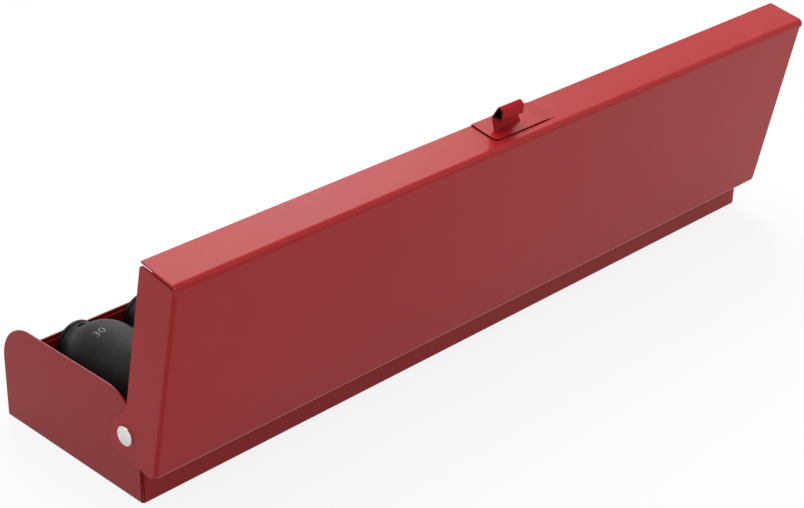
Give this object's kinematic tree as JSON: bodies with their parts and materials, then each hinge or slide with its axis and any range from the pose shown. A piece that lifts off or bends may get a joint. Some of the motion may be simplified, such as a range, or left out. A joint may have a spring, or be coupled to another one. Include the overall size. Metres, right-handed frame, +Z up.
{
  "type": "socket case",
  "caption": "Long narrow red sheet-steel case with its hinged lid standing open and a row of deep black impact sockets on square pegs inside",
  "frame": {"origin": "centre of the tray's underside", "axes": "+X along the case towards its largest socket, +Y towards the hinge side, +Z up"},
  "size_m": [0.5074, 0.1504, 0.1572],
  "materials": {
    "red_paint": "gloss",
    "zinc_steel": "satin",
    "black_steel": "satin"
  },
  "bodies": {
    "tray_body": {"tray": "red_paint", "catch_plate": "zinc_steel", "hinge_rivet_right": "zinc_steel", "hinge_washer_right": "zinc_steel", "hinge_rivet_left": "zinc_steel", "hinge_washer_left": "zinc_steel", "peg_strip": "red_paint", "drive_pegs": "zinc_steel", "cradle_rail": "red_paint"},
    "lid_body": {"lid": "red_paint"},
    "tongue_body": {"latch_tongue": "red_paint", "latch_pull": "red_paint"},
    "socket_30mm_body": {"socket_30mm": "black_steel"},
    "socket_29mm_body": {"socket_29mm": "black_steel"},
    "socket_28mm_body": {"socket_28mm": "black_steel"},
    "socket_27mm_body": {"socket_27mm": "black_steel"},
    "socket_26mm_body": {"socket_26mm": "black_steel"},
    "socket_25mm_body": {"socket_25mm": "black_steel"},
    "socket_24mm_body": {"socket_24mm": "black_steel"},
    "socket_23mm_body": {"socket_23mm": "black_steel"},
    "socket_22mm_body": {"socket_22mm": "black_steel"},
    "socket_21mm_body": {"socket_21mm": "black_steel"}
  },
  "joints": [
    {"name": "lid_hinge", "type": "hinge", "parent": "tray_body", "child": "lid_body", "pos_m": [0, 0.049, 0.0382], "axis": [1, 0, 0], "range_deg": [0, 100.7]},
    {"name": "tongue_flex", "type": "hinge", "parent": "lid_body", "child": "tongue_body", "pos_m": [-0.022, 0.07657, 0.14209], "axis": [0, -0.9826, 0.1857], "range_deg": [0, 6], "stiffness_Nm_per_rad": 1.5},
    {"name": "socket_30mm_slide", "type": "slide", "parent": "tray_body", "child": "socket_30mm_body", "axis": [0, 1, 0], "range_m": [0, 0.03]},
    {"name": "socket_29mm_slide", "type": "slide", "parent": "tray_body", "child": "socket_29mm_body", "axis": [0, 1, 0], "range_m": [0, 0.03]},
    {"name": "socket_28mm_slide", "type": "slide", "parent": "tray_body", "child": "socket_28mm_body", "axis": [0, 1, 0], "range_m": [0, 0.03]},
    {"name": "socket_27mm_slide", "type": "slide", "parent": "tray_body", "child": "socket_27mm_body", "axis": [0, 1, 0], "range_m": [0, 0.03]},
    {"name": "socket_26mm_slide", "type": "slide", "parent": "tray_body", "child": "socket_26mm_body", "axis": [0, 1, 0], "range_m": [0, 0.03]},
    {"name": "socket_25mm_slide", "type": "slide", "parent": "tray_body", "child": "socket_25mm_body", "axis": [0, 1, 0], "range_m": [0, 0.03]},
    {"name": "socket_24mm_slide", "type": "slide", "parent": "tray_body", "child": "socket_24mm_body", "axis": [0, 1, 0], "range_m": [0, 0.03]},
    {"name": "socket_23mm_slide", "type": "slide", "parent": "tray_body", "child": "socket_23mm_body", "axis": [0, 1, 0], "range_m": [0, 0.03]},
    {"name": "socket_22mm_slide", "type": "slide", "parent": "tray_body", "child": "socket_22mm_body", "axis": [0, 1, 0], "range_m": [0, 0.03]},
    {"name": "socket_21mm_slide", "type": "slide", "parent": "tray_body", "child": "socket_21mm_body", "axis": [0, 1, 0], "range_m": [0, 0.03]}
  ]
}
